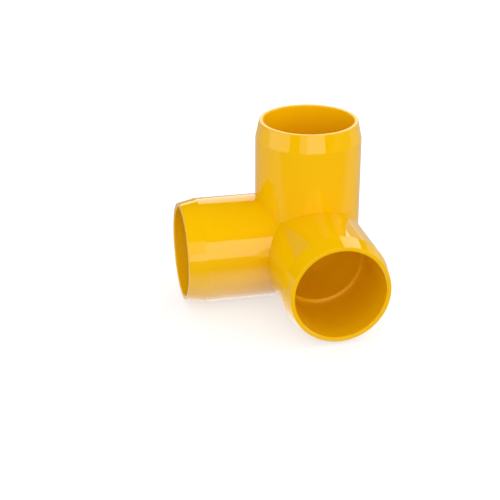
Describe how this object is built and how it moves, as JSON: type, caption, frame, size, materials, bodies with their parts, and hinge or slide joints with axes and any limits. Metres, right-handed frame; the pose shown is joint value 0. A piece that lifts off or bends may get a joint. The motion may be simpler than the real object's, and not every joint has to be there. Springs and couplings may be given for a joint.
{
  "type": "pvc three-way elbow",
  "caption": "Moulded corner elbow with sockets at right angles, which joins round plastic tubes at the corner of a frame.",
  "frame": {"origin": "the point where the centre lines of the sockets cross", "axes": "+Z along the upright socket, out of its mouth; the other sockets open along -X and -Y, and the ball corner faces +X, +Y and -Z"},
  "size_m": [0.0689, 0.0689, 0.0689],
  "materials": {
    "moulded_pvc": "gloss"
  },
  "bodies": {
    "root": {"three_way_elbow": "moulded_pvc"}
  },
  "joints": []
}
